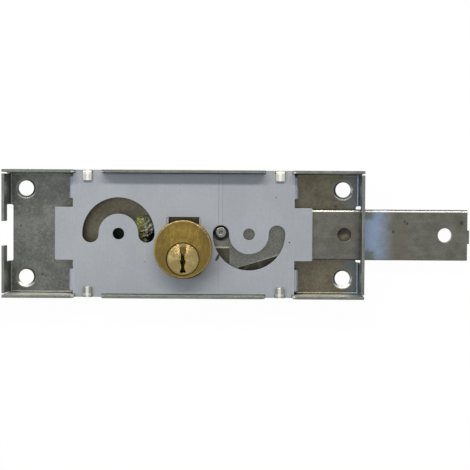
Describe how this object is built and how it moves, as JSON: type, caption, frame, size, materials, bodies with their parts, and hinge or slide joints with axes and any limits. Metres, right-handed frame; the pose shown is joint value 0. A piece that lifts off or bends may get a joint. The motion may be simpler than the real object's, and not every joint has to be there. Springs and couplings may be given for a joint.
{
  "type": "roller shutter lock",
  "caption": "Flat folded-steel lock case with a cover plate, an off-centre brass key cylinder, and a toothed crank that slides a flat steel bar out of one end.",
  "frame": {"origin": "centre of the case's flat back face", "axes": "+X along the sliding bar, towards its free end; +Y across the case; +Z out of the open side, towards the key"},
  "size_m": [0.201, 0.055, 0.0175],
  "materials": {
    "case_steel": "dull galvanised sheet",
    "cover_zinc": "bright zinc-plated sheet",
    "bar_steel": "zinc-plated flat bar",
    "mechanism_steel": "oiled stamped steel",
    "spring_steel": "bright spring steel",
    "cylinder_brass": "turned brass, slightly tarnished",
    "plug_brass": "polished brass",
    "pin_brass": "plain brass",
    "guide_brown": "matt brown, greasy"
  },
  "bodies": {
    "case": {"case_tray": "case_steel", "cover_plate": "cover_zinc", "cylinder_body": "cylinder_brass", "cylinder_clip": "spring_steel", "driver_pin_1": "pin_brass", "driver_pin_2": "pin_brass", "driver_pin_3": "pin_brass", "driver_pin_4": "pin_brass", "tumbler_spring_1": "spring_steel", "tumbler_spring_2": "spring_steel", "tumbler_spring_3": "spring_steel", "tumbler_spring_4": "spring_steel", "chamber_cap_1": "pin_brass", "chamber_cap_2": "pin_brass", "chamber_cap_3": "pin_brass", "chamber_cap_4": "pin_brass", "crank_stud": "mechanism_steel", "crank_washer": "spring_steel", "pinion_bush": "pin_brass", "pinion_washer": "spring_steel", "bolt_guide": "guide_brown", "guide_rivet_upper": "mechanism_steel", "guide_rivet_lower": "mechanism_steel"},
    "bolt": {"bolt_bar": "bar_steel"},
    "crank": {"crank_sector": "mechanism_steel", "crank_pin": "bar_steel", "crank_bush": "pin_brass"},
    "key_plug": {"cylinder_plug": "plug_brass", "key_pin_1": "pin_brass", "key_pin_2": "pin_brass", "key_pin_3": "pin_brass", "key_pin_4": "pin_brass", "tail_blade": "mechanism_steel", "drive_pinion": "mechanism_steel", "plug_circlip": "spring_steel"}
  },
  "joints": [
    {"name": "bolt_slide", "type": "slide", "parent": "case", "child": "bolt", "axis": [1, 0, 0], "range_m": [0, 0.02414]},
    {"name": "crank_turn", "type": "hinge", "parent": "case", "child": "crank", "pos_m": [0.02814, 0, 0.0026], "axis": [0, 0, 1], "range_deg": [0, 180]},
    {"name": "key_turn", "type": "hinge", "parent": "case", "child": "key_plug", "pos_m": [0, -0.0104, 0.0026], "axis": [0, 0, -1], "range_deg": [0, 360]}
  ],
  "couplings": [
    {"joint": "crank_turn", "follows": "bolt_slide", "rad_per_m": 130.13},
    {"joint": "key_turn", "follows": "bolt_slide", "rad_per_m": 260.26}
  ]
}
